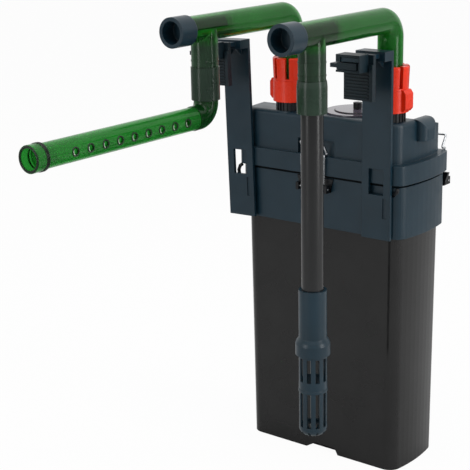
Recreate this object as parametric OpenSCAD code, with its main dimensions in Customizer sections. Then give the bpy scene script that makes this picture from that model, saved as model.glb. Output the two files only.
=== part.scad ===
// Hang-on canister filter for an aquarium.
// +Z is up, the tank is on the -Y side, and the origin is the centre of the canister's base.

/* [Canister] */
// Length of the canister at its base
can_l = 146; // [130:1:160]
// Depth of the canister at its base
can_d = 64; // [60:1:70]
// Extra length of the canister at its rim
can_flare_l = 3.6; // [0:0.2:6]
// Extra depth of the canister at its rim
can_flare_d = 2.4; // [0:0.2:5]
// Height of the canister
can_h = 232; // [210:1:280]
// Wall of the canister
can_wall = 3; // [2:0.5:4]
// Corner radius of the canister
can_corner = 10; // [8:1:16]
// Radius of the bowed ends of canister and head
end_bow = 140; // [110:5:300]
// Width of the finger notch at the front foot
notch_w = 31; // [20:1:40]
// Height of the finger notch
notch_h = 5.5; // [4:0.5:8]
// Depth of the finger notch
notch_deep = 7; // [5:0.5:9]
// Middle of the finger notch along X
notch_x = 2; // [-10:1:10]

/* [Collar and seal] */
// Height of the collar below the canister's rim
collar_drop = 37.5; // [30:0.5:45]
// Thickness of the collar's lip over the canister's rim
collar_lip = 3; // [2.5:0.5:5]
// Wall of the collar along its front
collar_wall = 1.7; // [1.6:0.1:2.2]
// Extra wall of the collar at its ends
collar_end_wall = 2; // [1:0.1:3]
// Height of the rim seal
seal_h = 2; // [1:0.1:2.5]
// Width of the rim seal
seal_w = 3; // [2:0.25:3.5]

/* [Head] */
// Height of the head's flange
flange_h = 15; // [10:0.5:20]
// Overhang of the flange past the collar
flange_over = 1.9; // [1:0.1:3]
// Height of the housing above the flange
house_h = 31.3; // [29:0.1:40]
// Ledge between the flange's edge and the housing's front
ledge_front = 2.5; // [2:0.1:4]
// Ledge between the flange's edge and the housing's end
ledge_end = 6.4; // [5:0.1:9]
// Wall of the housing
house_wall = 4; // [3.4:0.1:4.5]
// Roof of the housing
roof_t = 3; // [2.5:0.1:4]
// Corner radius of the housing
house_corner = 12; // [10:1:16]
// Length of the housing's flat roof behind its front, before the roof falls
roof_flat = 26.6; // [24:0.1:30]
// Fall of the roof towards the back, in degrees
roof_fall = 13.5; // [8:0.5:14]
// Rounding of the housing's top edge
top_round = 3.3; // [2:0.1:4]
// Thickness of the head's inner floor
head_floor = 4; // [3:0.5:5]
// Length of the nose cover
nose_l = 11.4; // [11:0.2:14]
// Width of the nose cover
nose_w = 20; // [16:1:26]
// Height of the nose cover
nose_h = 16.3; // [12:0.1:19]
// Rounding of the nose cover's top
nose_round = 9; // [6:0.5:10]
// Radius of the vent plate
vent_r = 25.5; // [22:0.5:26]
// Radius of the vent knob
vent_knob_r = 3.4; // [2.5:0.1:5]
// Height of the vent knob above its plate
vent_knob_h = 5; // [3:0.5:8]
// Place of the vent plate along X
vent_x = 17; // [14:1:20]
// Place of the vent plate along Y
vent_y = -4; // [-8:1:2]
// Bore of the cable gland
gland_bore = 6.4; // [5:0.2:8]

/* [Latches] */
// Wire diameter of a latch bail
wire_d = 1.8; // [1.4:0.1:2.4]
// Width of a latch base at its top
latch_top_w = 34; // [30:1:38]
// Width of a latch base at its bottom
latch_foot_w = 27; // [25:1:29]
// Height of a latch base
latch_h = 11; // [9:0.5:14]
// Distance between a bail's two pivots
bail_foot_w = 22; // [20:1:24]
// Width of a bail where it crosses the flange
bail_top_w = 21; // [17:1:21]
// Height of a bail's finger loop above the flange
bail_loop_h = 11; // [8:0.5:14]
// Middle of the front latch along X
latch_x = -1.5; // [-4:0.5:4]
// Distance of a back latch's middle from the flange's end
latch_in = 20.2; // [20:0.1:30]

/* [Nozzles and lock collars] */
// Outer diameter of a ribbed nozzle
nozzle_d = 24.5; // [22:0.5:26]
// Height of a ribbed nozzle above the head
nozzle_h = 7; // [5:0.5:10]
// Number of ribs round a nozzle
nozzle_ribs = 24; // [16:1:30]
// Place of the outlet nozzle along X
outlet_x = -33.5; // [-36:0.5:-30]
// Place of the intake nozzle along X
intake_x = 57; // [55:0.5:58]
// Distance of both nozzles in front of the middle
nozzle_y = 22; // [20:0.25:22]
// Outer diameter of a lock collar
lock_d = 29; // [28:0.25:29.2]
// Height of a lock collar's ring
lock_ring_h = 16.7; // [14:0.1:20]
// Height of a lock collar's slotted crown
lock_crown_h = 17.7; // [14:0.1:20]
// Number of slots in a lock collar's crown
lock_slots = 8; // [6:1:10]
// Width of a slot in a lock collar's crown
lock_slot_w = 3; // [2:0.1:3.5]
// Reach of a lock collar's wing from its axis
wing_reach = 17; // [16:0.25:17.5]
// Width of a lock collar's wing
wing_w = 11; // [8:0.5:12]

/* [Pipes] */
// Outer diameter of the green pipes
pipe_d = 19.2; // [18:0.2:20]
// Wall of the green pipes
pipe_wall = 1.8; // [1.4:0.1:1.8]
// Height of the horizontal pipes' axis above the head's top
pipe_rise = 75.5; // [68:0.5:90]
// Bend radius of the elbows
bend_r = 13; // [11:0.5:16]
// Distance of the outlet leg in front of the middle
outlet_leg_y = 128.7; // [124:0.1:150]
// Distance of the intake leg in front of the middle
intake_leg_y = 123.9; // [118:0.1:140]
// Outer diameter of the outlet leg
outlet_leg_d = 19.7; // [19.4:0.1:20.2]
// Outer diameter of the intake leg
intake_leg_d = 19.4; // [19.2:0.1:20]
// Length of the outlet leg below the pipe's axis
outlet_leg_l = 27.8; // [24:0.1:34]
// Length of the intake leg below the pipe's axis
intake_leg_l = 40.5; // [36:0.1:46]
// Distance from a leg's axis to the front end of its tee
tee_front = 19.8; // [18:0.1:22]

/* [Flow plugs] */
// Outer diameter of a flow plug's socket
plug_d = 21.8; // [21:0.1:24]
// Length of a flow plug's socket
plug_l = 16; // [14:0.5:20]
// Bore of a flow plug's socket
plug_bore = 16.4; // [14:0.2:17]
// Depth of a flow plug's socket
plug_deep = 12; // [8:0.5:12]
// Wall of the half shell inside the tee
shell_wall = 1.3; // [1:0.1:1.6]
// Length of the half shell in the outlet tee
outlet_shell_l = 37.5; // [34:0.5:40]
// Length of the half shell in the intake tee
intake_shell_l = 40; // [34:0.5:42]

/* [Spray bar] */
// Outer diameter of the outlet sleeve
sleeve_d = 21; // [20.8:0.1:22.5]
// Length of the outlet sleeve
sleeve_l = 24; // [22:0.5:30]
// Height of the spray bar's axis below the outlet sleeve
bar_drop = 11.9; // [11:0.1:20]
// Outer diameter of the spray elbow
elbow_d = 18; // [17.8:0.1:18.4]
// Bend radius of the spray elbow
elbow_bend = 10.5; // [9.6:0.1:11.5]
// Length of the spray elbow in front of its leg's axis
elbow_reach = 15.6; // [14:0.1:24]
// Outer diameter of the spray bar
bar_d = 17; // [16:0.1:17.4]
// Wall of the spray bar
bar_wall = 1.7; // [1.4:0.1:2]
// Length of the spray bar
bar_l = 149.2; // [140:0.2:300]
// Number of spray holes
spray_holes = 9; // [3:1:9]
// Diameter of a spray hole
spray_d = 4.6; // [3:0.1:6]
// Pitch of the spray holes
spray_pitch = 14; // [12:0.25:16]
// Distance of the first spray hole from the elbow
spray_first = 15; // [10:0.5:18]
// Outer diameter of the spray end cap
cap_d = 18.5; // [18:0.1:20]
// Length of the spray end cap outside the bar
cap_l = 10.7; // [8:0.1:14]
// Depth of the cup in the spray end cap
cap_deep = 7; // [4.5:0.5:8]
// Length of the plug that holds the end cap
cap_plug_l = 7.2; // [5:0.1:9]

/* [Intake tube and strainer] */
// Outer diameter of the intake tube
tube_d = 16; // [15.2:0.1:16.2]
// Wall of the intake tube
tube_wall = 1.6; // [1.2:0.1:2]
// Visible length of the intake tube
tube_show = 127.7; // [80:0.5:180]
// Length of the intake tube hidden in the leg
tube_hidden = 25; // [20:0.5:26]
// Outer diameter of the intake sleeve
intake_sleeve_d = 21.4; // [21.2:0.1:23]
// Length of the intake sleeve below the leg
intake_sleeve_l = 13.3; // [10:0.1:18]
// Length of the intake sleeve that wraps the leg
intake_sleeve_up = 9.4; // [8:0.1:12]
// Outer diameter of the strainer coupling
couple_d = 20.4; // [19.6:0.1:21]
// Length of the strainer coupling's neck
couple_l = 36.6; // [28:0.1:45]
// Outer diameter of the strainer coupling's ring
ring_d = 25.4; // [24:0.1:28]
// Height of the strainer coupling's ring
ring_h = 12.3; // [10:0.1:16]
// Outer diameter of the strainer basket
basket_d = 20.7; // [20:0.1:22]
// Length of the strainer basket
basket_l = 62.5; // [55:0.5:90]
// Wall of the strainer basket
basket_wall = 1.5; // [1.2:0.1:2]
// Number of slots round the strainer basket
basket_slots = 10; // [6:1:12]
// Width of a strainer slot
basket_slot_w = 3; // [2:0.1:3.6]
// Height of the upper row of strainer slots
slot_up_h = 18; // [12:0.5:20]
// Height of the lower row of strainer slots
slot_low_h = 27; // [20:0.5:30]
// Height of the strainer's solid band between the rows
slot_band = 8.6; // [4:0.1:10]

/* [Hangers] */
// Width of a hanger's strip
strip_w = 25.2; // [22:0.2:28]
// Thickness of a hanger's strip
strip_t = 2.7; // [2:0.1:4]
// Height of a hanger from the collar's bottom edge
hanger_h = 144; // [130:0.5:160]
// Distance of the right hanger's middle from the flange's end
hanger_right_in = 23.9; // [22:0.1:27]
// Distance of the left hanger's middle from the flange's end
hanger_left_in = 9.8; // [8.5:0.1:12]
// Lean of the left hanger away from the middle, in degrees
hanger_lean = 1.7; // [0:0.1:2]
// Gap for the tank's rim
rim_gap = 22; // [18:0.5:26]
// Height of the hanger's arm
arm_h = 7; // [6:0.5:9]
// Length of the arm's full-width root
arm_root = 9.5; // [6:0.5:10]
// Width of the rail that carries the jaw
rail_w = 15.4; // [12:0.2:16]
// Height of the rail that carries the jaw
rail_h = 3.2; // [2.4:0.2:4]
// Thickness of the clamp jaw's plate
jaw_t = 3; // [2:0.1:4]
// Length of the clamp jaw's plate below the arm
jaw_drop = 26.7; // [20:0.1:36]
// Number of grip ribs on the jaw
jaw_ribs = 9; // [5:1:10]
// Pitch of the grip ribs
jaw_rib_pitch = 2.35; // [1.8:0.05:2.5]
// Length of the block that guides the jaw on its rail
block_l = 12; // [10:0.5:16]
// Width of the block that guides the jaw
block_w = 20; // [19.6:0.2:22]
// Length of the clamp lever's tip beside the block
lever_tip = 6; // [3:0.1:7]
// Thickness of the clamp lever
lever_t = 5; // [3:0.1:5.4]
// Width of the window in the hanger's strip
window_w = 13; // [10:0.5:16]
// Height of the window in the hanger's strip
window_h = 20; // [14:0.5:24]
// Height of the window above the collar's bottom edge
window_z = 34.5; // [32:0.5:40]
// Height of the spring tongue below the window
tongue_h = 15.6; // [10:0.1:20]

/* [Pump and media] */
// Radius of the impeller's blades
blade_r = 15; // [12:0.5:17]
// Number of impeller blades
blades = 6; // [4:1:8]
// Radius of the rotor's magnet
magnet_r = 8; // [6:0.25:8.5]
// Radius of the impeller shaft
shaft_r = 1.5; // [1.2:0.1:2]
// Radius of the volute's chamber
volute_r = 20; // [18:0.5:22]
// Height of the volute
volute_h = 23; // [20:0.5:26]
// Wall of the volute
volute_wall = 3; // [2:0.1:4]
// Length of the motor block
motor_l = 52; // [44:1:54]
// Depth of the motor block
motor_d = 43; // [38:1:44]
// Outer radius of the intake duct
duct_r = 10; // [9.6:0.1:11]
// Clearance between the media baskets and the canister's walls
tray_gap = 2; // [1.6:0.1:4]
// Height the media baskets stand above the canister's floor
tray_foot = 6; // [4:0.5:10]
// Wall of a media basket
tray_wall = 1.6; // [1.2:0.1:2.5]

/* [Hidden] */
$fn = 64;
eps = 0.01;
// Clearance between pieces that move on each other
slip = 0.3;
// Clearance of a pin in its hole
pin_fit = 0.08;
// Clearance between fixed pieces that nest
nest = 0.15;

// Canister and collar levels
collar_z = can_h - collar_drop;
collar_top = can_h + collar_lip;
flange_z = collar_top + seal_h;
flange_top = flange_z + flange_h;
head_top = flange_top + house_h;
rim_l = can_l + can_flare_l;
rim_d = can_d + can_flare_d;
collar_l = rim_l + 2 * (slip + collar_wall + collar_end_wall);
collar_d = rim_d + 2 * (slip + collar_wall);
collar_corner = can_corner + 1;
flange_l = collar_l + 2 * flange_over;
flange_d = collar_d + 2 * flange_over;
house_l = flange_l - 2 * ledge_end;
house_d = flange_d - 2 * ledge_front;
room_l = house_l - 2 * house_wall;
room_d = house_d - 2 * house_wall;

// Head base plate and pump
base_l = rim_l - 2 * can_wall - 4;
base_d = rim_d - 2 * can_wall - 3.4;
base_t = 4;
base_z = flange_z - base_t;
motor_top = head_top - roof_t - 3.4;
boss_h = (vent_y + vent_r + 1.5 - roof_flat + house_d / 2) * tan(roof_fall) + 1;
volute_z = base_z - volute_h;
cover_t = 4;
port_y = -14;
port_r = 8;
tail_r = port_r + 0.2;
chamber_w = 22;
chamber_wall = 1.8;
chamber_gap = 0.6;
chamber_z = flange_z + 4.6;
chamber_top = head_top - roof_t - 2.3;
port_low = base_z - 2.5;
duct_foot = 13;
tray_z = can_wall + tray_foot;
tray_left = -can_l / 2 + can_wall + tray_gap + 3;
tray_right = intake_x - duct_r - 3;
tray_x = (tray_left + tray_right) / 2;
tray_l = tray_right - tray_left;
tray_d = can_d - 2 * can_wall - 2 * tray_gap;
tray_h = (volute_z - cover_t - tray_z - 17) / 3;
tray_floor = 2;
pad_gap = 0.5;
media_l = tray_l - 2 * tray_wall;
media_d = tray_d - 2 * tray_wall;
ring_od = 13;
ring_cols = floor(media_l / (ring_od + 1.4));
ring_rows = floor(media_d / (ring_od + 2));
ring_l = (tray_h - tray_floor - 6) / 2;
rotor_top = flange_z + 27;
well_top = rotor_top + 5.5;
well_r = magnet_r + 0.6;
bush_r = 4;
gland_x = 30;
gland_z = flange_top + 9;
gland_r = gland_bore / 2 + 1.8;
screw_r = 1.5;
screw_y = base_d / 2 - 2.9;
screw_end = base_l / 2 - 5.8;
screw_xs = [-screw_end, intake_x - 23, screw_end];

// Nozzles, pipes and legs
nozzle_top = head_top + nozzle_h;
lock_z = nozzle_top + slip;
lock_mid = lock_z + lock_ring_h;
lock_top = lock_mid + lock_crown_h;
pipe_r = pipe_d / 2;
pipe_bore = pipe_r - pipe_wall;
spigot_r = lock_d / 2 - 3.5;
pipe_foot = nozzle_top + 2;
pipe_z = head_top + pipe_rise;
outlet_leg_z = pipe_z - outlet_leg_l;
intake_leg_z = pipe_z - intake_leg_l;
leg_bore = tube_d / 2 + slip;

// Spray bar
sleeve_z = outlet_leg_z - sleeve_l;
bar_z = sleeve_z - bar_drop;
elbow_r = elbow_d / 2;
elbow_front = outlet_leg_y + elbow_reach;
bar_r = bar_d / 2;
bar_end = elbow_front + bar_l;
bar_spigot = bar_r - 1.2;

// Intake tube and strainer
tube_top = intake_leg_z + tube_hidden - intake_sleeve_l;
sleeve_foot = intake_leg_z - intake_sleeve_l;
tube_r = tube_d / 2;
couple_top = sleeve_foot - tube_show;
ring_top = couple_top - couple_l;
ring_z = ring_top - ring_h;
basket_top = ring_z - slip;
basket_z = basket_top - basket_l;
basket_neck = 11;
tube_seat = 28;
neck_r = 8.9;

// Hangers
hanger_right_x = flange_l / 2 - hanger_right_in;
hanger_left_x = hanger_left_in - flange_l / 2;
strip_back = -flange_d / 2 - slip;
strip_front = strip_back - strip_t;
hanger_top = collar_z + hanger_h;
arm_z = hanger_top - arm_h;
jaw_back = strip_front - rim_gap;
jaw_front = jaw_back - jaw_t;
block_front = jaw_front - block_l;
rail_z = hanger_top - 1.4 - rail_h;
jaw_z = arm_z - jaw_drop;
lever_z = rail_z - slip - 0.4 - lever_t;
lever_pin_r = 1.5;
lever_pin_x = 3;
block_floor = 1.5;
block_z = lever_z - slip - block_floor;
block_x = -block_w / 2 - 1.6;

// Latches
latch_z = collar_top - 0.6 - latch_h;
pivot_z = latch_z + 3.6;
pivot_out = 2.2;
wire_r = wire_d / 2;
// The bail's pins are formed a little thinner than its wire
pin_r = wire_r - 0.08;
// Bend radius of the wire's middle line
wire_bend = 1.2;
bail_over = 2.9;
loop_out = 3.6;
pocket_deep = 2;
latch_back = flange_over + pocket_deep - 0.4;
lug_w = 2.4;
lug_h = 6;
lug_x = bail_foot_w / 2 + lug_w;
lug_out = pivot_out + 2.4;
recess_deep = 2.6;
recess_h = 12;

// Colours of the plastics, rubber and metal
teal = "#2f3f49";
smoke = "#303030";
green = "#2a7a30";
orange = "#e5452a";
black = "#16181b";
steel = "#b9bcc0";

// A quarter of the filter's outline seen from above: half a bowed end, then a round corner
function quarter(l, d, r) = let (
    cy = d / 2 - r,
    reach = sqrt(pow(end_bow - r, 2) - pow(cy, 2)),
    cx = l / 2 - end_bow + reach,
    turn = atan2(cy, reach))
    concat([for (i = [0:3]) let (a = turn * i / 4) [l / 2 - end_bow + end_bow * cos(a), end_bow * sin(a)]],
        [for (i = [0:8]) let (a = turn + (90 - turn) * i / 8) [cx + r * cos(a), cy + r * sin(a)]]);

// The whole outline: a long rectangle with round corners and slightly bowed ends
module plan(l, d, r) {
    q = quarter(l, d, r);
    last = len(q) - 1;
    polygon(concat(q, [for (i = [last:-1:1]) [-q[i][0], q[i][1]]],
        [for (p = q) -p], [for (i = [last:-1:1]) [q[i][0], -q[i][1]]]));
}

// A slab of the plan
module slab(l, d, r, z, h) {
    translate([0, 0, z]) linear_extrude(h) plan(l, d, r);
}

// A straight cylinder towards -Y
module rod_y(x, y, z, r, h) {
    translate([x, y, z]) rotate([90, 0, 0]) cylinder(r = r, h = h);
}

// A quarter bend from straight up at y to straight towards -Y, the centre line's end at z
module bend_up(x, y, z, bend, r) {
    translate([x, y - bend, z - bend]) rotate([90, 0, 90]) rotate_extrude(angle = 90) translate([bend, 0])
        circle(r);
}

// Points of the round bend of radius r at b, on the way from a to c
function rounded(a, b, c, r) = let (
    way = (b - a) / norm(b - a),
    next = (c - b) / norm(c - b),
    turn = acos(way * next),
    inward = (next - (next * way) * way) / norm(next - (next * way) * way),
    centre = b - r * tan(turn / 2) * way + r * inward)
    [for (i = [0:3]) centre - r * cos(turn * i / 3) * inward + r * sin(turn * i / 3) * way];

// A round wire of radius r along a path, with flat ends
module swept(path, r) {
    sides = 12;
    last = len(path) - 1;
    side = [0.6, -0.7, 0.4];
    rings = [for (i = [0:last]) let (
        way = path[min(i + 1, last)] - path[max(i - 1, 0)],
        t = way / norm(way),
        u = cross(side, t) / norm(cross(side, t)),
        v = cross(t, u))
        for (k = [0:sides - 1]) path[i] + r * (cos(360 * k / sides) * u + sin(360 * k / sides) * v)];
    quads = [for (i = [0:last - 1], k = [0:sides - 1]) let (n = (k + 1) % sides)
        [i * sides + k, i * sides + n, (i + 1) * sides + n, (i + 1) * sides + k]];
    faces = [for (q = quads) each [[q[0], q[2], q[1]], [q[0], q[3], q[2]]]];
    caps = [[for (k = [0:sides - 1]) k], [for (k = [sides - 1:-1:0]) last * sides + k]];
    polyhedron(rings, concat(faces, caps));
}

/* Canister, collar and seal */

module taper(inset, z, corner) {
    hull() {
        slab(can_l - 2 * inset, can_d - 2 * inset, corner, z, eps);
        slab(rim_l - 2 * inset, rim_d - 2 * inset, corner, can_h - eps, eps);
    }
}

module canister() color(smoke, 0.8) {
    back = -can_d / 2 + notch_deep;
    difference() {
        union() {
            difference() {
                union() {
                    slab(can_l, can_d, can_corner, 0, can_wall);
                    taper(0, can_wall, can_corner);
                }
                taper(can_wall, can_wall, can_corner - can_wall);
                slab(rim_l - 2 * can_wall, rim_d - 2 * can_wall, can_corner - can_wall, can_h - 1, 2);
            }
            translate([notch_x - notch_w / 2 - can_wall, -can_d / 2 + can_wall / 2, can_wall / 2])
                cube([notch_w + 2 * can_wall, notch_deep + can_wall / 2, notch_h + can_wall / 2]);
        }
        translate([notch_x, back, 0]) rotate([90, 0, 0]) linear_extrude(2 * notch_deep)
            polygon([[-notch_w / 2, -1], [-notch_w / 2, 0], [-notch_w / 2 + 9, notch_h],
                [notch_w / 2 - 3, notch_h], [notch_w / 2, 0], [notch_w / 2, -1]]);
    }
}

module at_front() translate([latch_x, -flange_d / 2, 0]) children();
module at_back(side) translate([side * (flange_l / 2 - latch_in), flange_d / 2, 0]) rotate(180) children();

// The tapered outline of a latch base, drawn outwards from a depth behind the flange's face
module latch_face(grow, back, deep) {
    foot = latch_foot_w / 2 + grow;
    top = latch_top_w / 2 + grow;
    translate([0, back, 0]) rotate([90, 0, 0]) linear_extrude(deep)
        polygon([[-foot, latch_z - grow], [foot, latch_z - grow],
            [top, latch_z + latch_h + grow], [-top, latch_z + latch_h + grow]]);
}

// The two lugs that carry a bail's pins
module latch_lugs(grow) {
    for (s = [-1, 1]) translate([s * lug_x - lug_w / 2 - grow, -lug_out, latch_z + 0.6 - grow])
        cube([lug_w + 2 * grow, lug_out + latch_back - 0.5 + grow, lug_h + 2 * grow]);
}

module latch_pocket() {
    latch_face(nest, flange_over + pocket_deep, flange_over + pocket_deep + 4);
    latch_lugs(nest);
}

// The shallow recess in the head's wall behind a bail
module latch_recess() {
    translate([-latch_top_w / 2, -1, flange_top])
        cube([latch_top_w, 1 + ledge_front + recess_deep, recess_h]);
}

module canister_collar() color(teal) {
    difference() {
        slab(collar_l, collar_d, collar_corner, collar_z, collar_top - collar_z);
        slab(rim_l + 2 * slip, rim_d + 2 * slip, can_corner + slip, collar_z - 1, collar_drop + 1);
        slab(rim_l - 2 * can_wall, rim_d - 2 * can_wall, can_corner - can_wall, can_h - 1, collar_lip + 2);
        at_front() latch_pocket();
        at_back(-1) latch_pocket();
        at_back(1) latch_pocket();
    }
}

module rim_seal() color(black) {
    outer_l = rim_l - 2 * can_wall + 2 * seal_w + 1.4;
    outer_d = rim_d - 2 * can_wall + 2 * seal_w + 1.4;
    difference() {
        slab(outer_l, outer_d, can_corner, collar_top, seal_h);
        slab(outer_l - 2 * seal_w, outer_d - 2 * seal_w, can_corner - seal_w, collar_top - 1, seal_h + 2);
    }
}

/* Pump head */

module housing() {
    steps = 4;
    slab(house_l, house_d, house_corner, flange_z, flange_h + house_h - top_round);
    for (i = [0:steps - 1]) hull() for (k = [i, i + 1]) {
        turn = 90 * k / steps;
        inset = top_round * (1 - cos(turn));
        slab(house_l - 2 * inset, house_d - 2 * inset, house_corner - inset,
            head_top - top_round + top_round * sin(turn) - eps, eps);
    }
}

// Everything above the falling part of the roof, moved down by drop
module roof_cut(drop) translate([-house_l, roof_flat - house_d / 2, head_top - drop])
    rotate([-roof_fall, 0, 0]) cube([2 * house_l, house_d, 60]);

module nose_space(grow) {
    translate([house_l / 2 - 4.7 - grow, -nose_w / 2 - grow, head_top - nose_h - grow])
        cube([nose_l, nose_w + 2 * grow, nose_h + 1 + grow]);
}

module pump_head() color(teal) {
    difference() {
        union() {
            slab(flange_l, flange_d, collar_corner - 3, flange_z, flange_h);
            difference() {
                housing();
                roof_cut(0);
            }
            translate([vent_x, vent_y, head_top - boss_h]) cylinder(r = vent_r + 1.5, h = boss_h);
            for (x = [outlet_x, intake_x])
                translate([x, -nozzle_y, head_top - 8]) cylinder(d = nozzle_d, h = 8);
        }
        difference() {
            slab(room_l, room_d, house_corner - house_wall, flange_z + head_floor,
                head_top - roof_t - flange_z - head_floor);
            roof_cut(roof_t);
        }
        slab(base_l - 8, base_d - 12, 4, flange_z - 1, head_floor + 2);
        nose_space(nest);
        for (x = [outlet_x, intake_x]) translate([x, -nozzle_y, head_top - 12])
            cylinder(r = tail_r + nest, h = 14);
        at_front() latch_recess();
        at_back(-1) latch_recess();
        at_back(1) latch_recess();
        translate([vent_x, vent_y, head_top - 1.2]) cylinder(r = vent_r + nest, h = 2);
        translate([vent_x, vent_y, head_top - 6]) cylinder(r = vent_knob_r - 0.6 + pin_fit, h = 7);
        rod_y(gland_x, house_d / 2 + 1, gland_z, gland_r + nest, house_wall + 2);
        for (x = screw_xs, s = [-1, 1])
            translate([x, s * screw_y, flange_z - 1]) cylinder(r = screw_r, h = head_floor);
    }
}

module nose_cover() color(teal) {
    x0 = house_l / 2 - 4.7;
    intersection() {
        nose_space(0);
        translate([0, nose_w / 2, 0]) rotate([90, 0, 0]) linear_extrude(nose_w) {
            translate([x0, head_top - nose_h]) square([nose_l - nose_round, nose_h]);
            translate([x0, head_top - nose_h]) square([nose_l, nose_h - nose_round]);
            translate([x0 + nose_l - nose_round, head_top - nose_round]) circle(nose_round);
        }
        translate([0, 0, head_top - nose_h]) linear_extrude(nose_h) {
            translate([x0, -nose_w / 2]) square([nose_l - 6, nose_w]);
            translate([x0, 6 - nose_w / 2]) square([nose_l, nose_w - 12]);
            for (s = [-1, 1]) translate([x0 + nose_l - 6, s * (nose_w / 2 - 6)]) circle(6);
        }
    }
}

module vent_plate() color("#8f8794") difference() {
    union() {
        translate([vent_x, vent_y, head_top - 1.2]) cylinder(r = vent_r, h = 2.4);
        translate([vent_x, vent_y, head_top]) cylinder(r = vent_r - 8, h = 2);
    }
    translate([vent_x, vent_y, head_top - 2]) cylinder(r = vent_knob_r - 0.6 + pin_fit, h = 6);
}

module vent_knob() color(black) translate([vent_x, vent_y, head_top]) {
    difference() {
        translate([0, 0, 2 + slip]) cylinder(r = vent_knob_r, h = vent_knob_h);
        for (i = [0:11]) rotate(30 * i) translate([vent_knob_r + 0.25, 0, 2]) cylinder(r = 0.5, h = 10);
        translate([-0.4, -vent_knob_r, 1.4 + vent_knob_h]) cube([0.8, 2 * vent_knob_r, 2]);
    }
    translate([0, 0, -5.6]) cylinder(r = vent_knob_r - 0.6, h = 8);
}

module cable_gland() color(black) difference() {
    union() {
        rod_y(gland_x, house_d / 2 + 10, gland_z, gland_r, 10 + house_wall + 2);
        rod_y(gland_x, house_d / 2 + 4, gland_z, gland_r + 2.2, 4);
        rod_y(gland_x, house_d / 2 - house_wall, gland_z, gland_r + 1.5, 2);
    }
    rod_y(gland_x, house_d / 2 + 11, gland_z, gland_bore / 2, 30);
}

module head_base() color(black) difference() {
    slab(base_l, base_d, can_corner - can_wall - 1, base_z, base_t);
    for (x = [outlet_x, intake_x])
        translate([x, port_y, base_z - 1]) cylinder(r = port_r + nest, h = base_t + 2);
    translate([vent_x, 0, base_z - 1]) cylinder(r = magnet_r + 0.6, h = base_t + 2);
    for (x = screw_xs, s = [-1, 1])
        translate([x, s * screw_y, base_z - 1]) cylinder(r = screw_r + 0.2, h = base_t + 2);
}

module head_screws() color(steel) for (x = screw_xs, s = [-1, 1]) translate([x, s * screw_y, base_z]) {
    cylinder(r = screw_r, h = base_t + head_floor - 1.5);
    difference() {
        translate([0, 0, -1.6]) cylinder(r = 2.7, h = 1.6);
        translate([-0.4, -2, -1.7]) cube([0.8, 4, 0.7]);
        translate([-2, -0.4, -1.7]) cube([4, 0.8, 0.7]);
    }
}

// A ribbed nozzle, its socket for the pipe, and the duct that leads down through the head base
// The box that joins a nozzle to its port, inside the head's walls
module chamber(x, deep) difference() {
    intersection() {
        translate([x - chamber_w / 2 + deep, -room_d / 2, chamber_z + deep])
            cube([chamber_w - 2 * deep, room_d / 2 + port_y / 2 + 2.6 - deep,
                chamber_top - chamber_z - 2 * deep]);
        slab(room_l - 2 * (chamber_gap + deep), room_d - 2 * (chamber_gap + deep),
            house_corner - house_wall - chamber_gap - deep, chamber_z, chamber_top - chamber_z);
    }
    roof_cut(roof_t + 1.5 + deep);
}

module nozzle(x) color(black) difference() {
    union() {
        translate([x, -nozzle_y, head_top]) {
            cylinder(d = nozzle_d - 1.6, h = nozzle_h);
            for (i = [0:nozzle_ribs - 1]) rotate(360 * i / nozzle_ribs)
                translate([nozzle_d / 2 - 1.2, -0.7, 0]) cube([1.2, 1.4, nozzle_h]);
            cylinder(r = spigot_r, h = nozzle_h + lock_ring_h - 1.5);
            translate([0, 0, chamber_top - head_top - 1])
                cylinder(r = tail_r, h = head_top - chamber_top + 2);
        }
        chamber(x, 0);
        translate([x, port_y, port_low]) cylinder(r = port_r, h = chamber_z - port_low + 1);
    }
    translate([x, -nozzle_y, pipe_foot]) cylinder(r = pipe_r + nest, h = lock_ring_h);
    translate([x, -nozzle_y, chamber_top - 3]) cylinder(r = port_r - 1.4, h = 30);
    chamber(x, chamber_wall);
    translate([x, port_y, port_low - 1]) cylinder(r = port_r - 1.8, h = chamber_z - port_low + 4);
}

module inlet_nozzle() nozzle(intake_x);
module outlet_nozzle() nozzle(outlet_x);

module nozzle_seals() color("#303438") for (x = [outlet_x, intake_x])
    translate([x, -nozzle_y, lock_z + lock_ring_h - 0.9])
        rotate_extrude() translate([pipe_r + 0.85, 0]) circle(0.6);

/* Lock collars */

module lock_collar(x) color(orange) translate([x, -nozzle_y, 0]) difference() {
    union() {
        translate([0, 0, lock_z]) cylinder(d = lock_d, h = lock_ring_h);
        translate([0, 0, lock_mid]) rotate_extrude() polygon([[pipe_r + 0.5, 0], [lock_d / 2 - 0.4, 0],
            [lock_d / 2 - 0.4, 2], [lock_d / 2 + 0.2, lock_crown_h - 1], [lock_d / 2 - 0.3, lock_crown_h],
            [pipe_r + 0.5, lock_crown_h]]);
        for (s = [0, 180]) rotate(s) translate([lock_d / 2 - 2, wing_w / 2, 0]) rotate([90, 0, 0])
            linear_extrude(wing_w) polygon([[0, lock_z + 1], [wing_reach - lock_d / 2, lock_z + 1],
                [wing_reach - lock_d / 2 + 2, lock_z + 3.4], [wing_reach - lock_d / 2 + 2, lock_mid - 2.4],
                [wing_reach - lock_d / 2, lock_mid + 0.5], [0, lock_mid + 0.5]]);
    }
    translate([0, 0, lock_z - 1]) cylinder(r = spigot_r + slip, h = lock_ring_h + 1);
    translate([0, 0, lock_z]) cylinder(r = pipe_r + 0.5, h = lock_top);
    for (i = [0:lock_slots - 1]) rotate(360 * (i + 0.5) / lock_slots)
        translate([0, -lock_slot_w / 2, lock_mid + 1.5]) cube([lock_d, lock_slot_w, lock_crown_h]);
}

module lock_collar_intake() lock_collar(intake_x);
module lock_collar_outlet() lock_collar(outlet_x);

/* Latches */

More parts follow.
